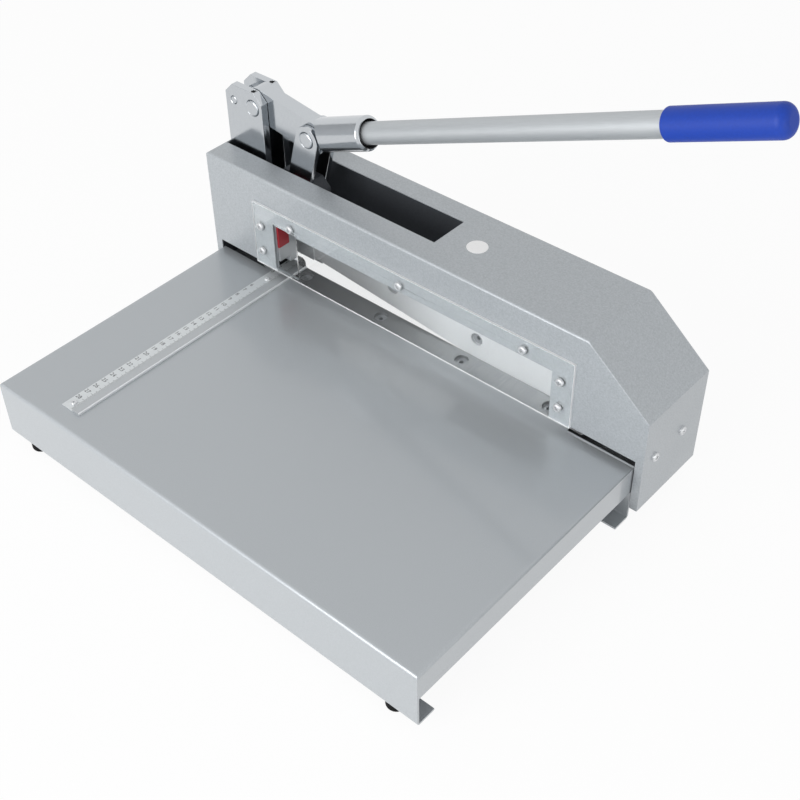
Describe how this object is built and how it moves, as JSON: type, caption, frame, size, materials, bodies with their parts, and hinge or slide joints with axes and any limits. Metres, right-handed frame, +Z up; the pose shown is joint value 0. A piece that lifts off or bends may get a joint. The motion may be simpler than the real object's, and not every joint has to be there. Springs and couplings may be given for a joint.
{
  "type": "manual sheet shear",
  "caption": "Bench shear for sheet: a folded table, a swing blade under a sheet cover with a clear guard, and a long hand lever that works the blade through a link.",
  "frame": {"origin": "on the ground under the middle of the machine's outline, with the lever as pictured", "axes": "+X along the blades to the lever's grip, +Y from the front of the table to the back, +Z up"},
  "size_m": [0.578, 0.376, 0.4139],
  "materials": {
    "cover_paint": "silver-grey hammer-texture paint, satin",
    "table_paint": "silver-grey smooth metallic paint, satin",
    "chrome": "bright nickel-chrome plate",
    "frame_steel": "milled plain steel, lightly oiled",
    "black_steel": "black oxide",
    "blade_steel": "ground bright",
    "bed_blade_steel": "ground, dulled by use",
    "bronze": "turned",
    "alloy": "satin",
    "ruler_face": "pale satin face",
    "acrylic": "clear, polished",
    "red": "moulded",
    "grip_blue": "smooth soft moulding",
    "rubber": "moulded black"
  },
  "bodies": {
    "frame": {"housing_cover": "cover_paint", "table_tray": "table_paint", "tower_plate_front": "chrome", "tower_plate_rear": "chrome", "tower_spacer_rod": "chrome", "lever_pivot_pin": "chrome", "guard_screws": "chrome", "cover_screws": "chrome", "ruler_screws": "chrome", "bed_plate": "frame_steel", "blade_bed": "frame_steel", "right_end_plate": "frame_steel", "tower_block": "frame_steel", "pivot_block": "frame_steel", "pivot_plate_front": "frame_steel", "pivot_plate_rear": "frame_steel", "pivot_washers": "frame_steel", "guard_nuts": "frame_steel", "foot_screws": "frame_steel", "tray_bolts": "frame_steel", "guide_screws": "frame_steel", "lower_blade_screws": "frame_steel", "frame_bolts": "black_steel", "bed_screws": "black_steel", "end_plate_screws": "black_steel", "pivot_bolt": "black_steel", "pivot_nut": "black_steel", "pin_set_screws": "black_steel", "lower_blade": "bed_blade_steel", "fence_strip": "alloy", "guide_plate": "alloy", "guide_block": "alloy", "ruler": "ruler_face", "guard": "acrylic", "red_block": "red", "feet": "rubber", "fence_stop": "rubber"},
    "lever": {"lever_arm": "chrome", "handle_socket": "chrome", "handle_tube": "alloy", "grip": "grip_blue"},
    "link": {"link_plate_front": "chrome", "link_plate_rear": "chrome", "link_top_pin": "chrome", "link_bottom_pin": "chrome"},
    "beam": {"blade_beam": "frame_steel", "pivot_bush": "bronze", "upper_blade": "blade_steel", "upper_blade_screws": "frame_steel"}
  },
  "joints": [
    {"name": "lever_swing", "type": "hinge", "parent": "frame", "child": "lever", "pos_m": [-0.2467, 0.1431, 0.2292], "axis": [0, 1, 0], "range_deg": [-30, 20]},
    {"name": "beam_swing", "type": "hinge", "parent": "frame", "child": "beam", "pos_m": [0.2028, 0.1431, 0.092], "axis": [0, -1, 0], "range_deg": [-5, 3.34]},
    {"name": "link_swing", "type": "hinge", "parent": "lever", "child": "link", "pos_m": [-0.17747, 0.1431, 0.21885], "axis": [0, 1, 0], "range_deg": [-18.9, 28.3]}
  ],
  "couplings": [
    {"joint": "beam_swing", "follows": "lever_swing", "ratio": 0.165},
    {"joint": "link_swing", "follows": "lever_swing", "ratio": -0.94}
  ]
}
